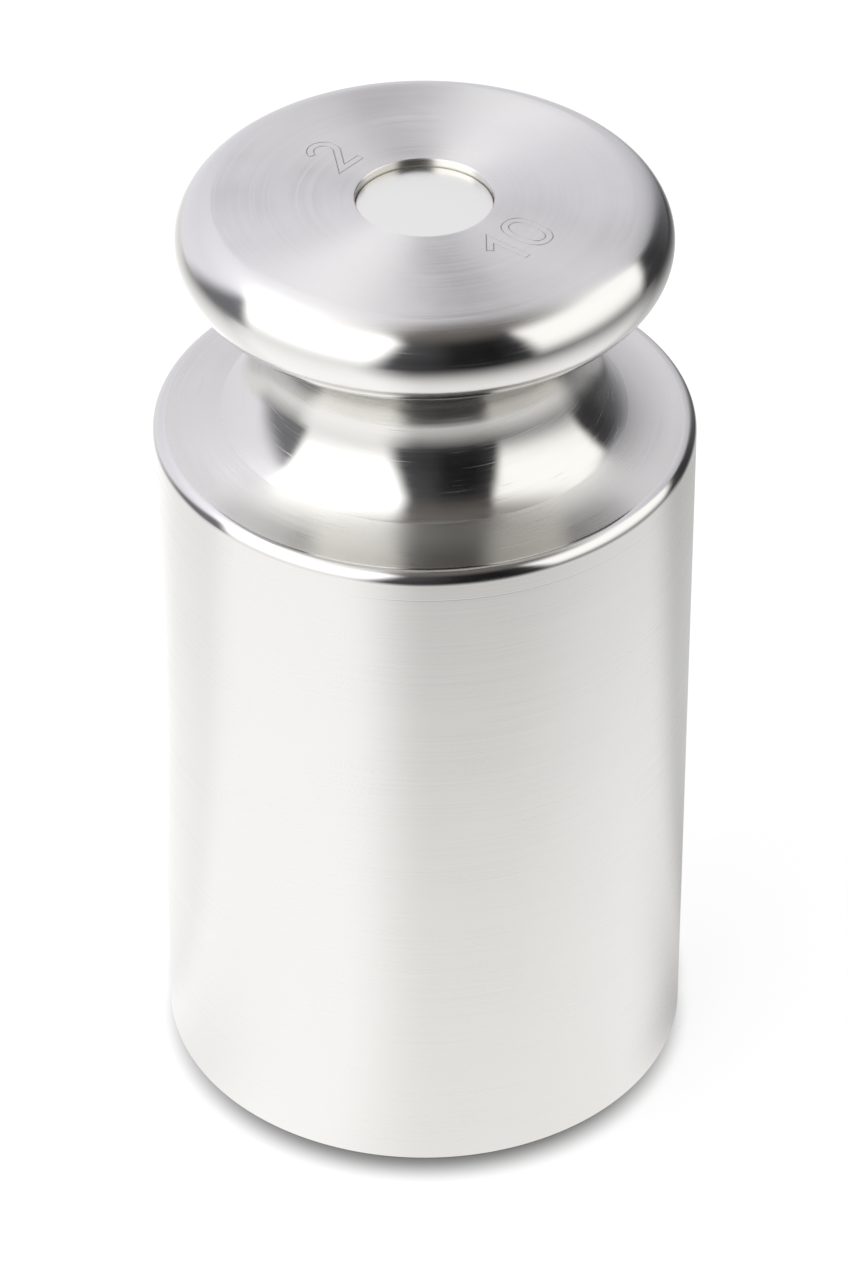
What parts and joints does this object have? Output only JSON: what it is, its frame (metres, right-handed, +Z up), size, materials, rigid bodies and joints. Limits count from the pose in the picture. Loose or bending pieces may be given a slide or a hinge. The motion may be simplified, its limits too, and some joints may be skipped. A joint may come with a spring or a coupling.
{
  "type": "calibration weight",
  "caption": "Cylindrical stainless-steel calibration weight with a lifting knob and a sealed adjusting cavity.",
  "frame": {"origin": "centre of the base, on the surface that the weight stands on", "axes": "+Z up along the turning axis, from the base to the knob; X and Y lie in the base and are alike, because the part is turned"},
  "size_m": [0.1, 0.1, 0.1863],
  "materials": {
    "turned_steel": "turned and part polished stainless steel",
    "plug_steel": "turned stainless steel",
    "shot_steel": "tumbled stainless steel balls",
    "seal_aluminium": "soft satin aluminium, pressed"
  },
  "bodies": {
    "root": {"weight_body": "turned_steel", "cavity_plug": "plug_steel", "adjusting_shot": "shot_steel", "seal_disc": "seal_aluminium"}
  },
  "joints": []
}
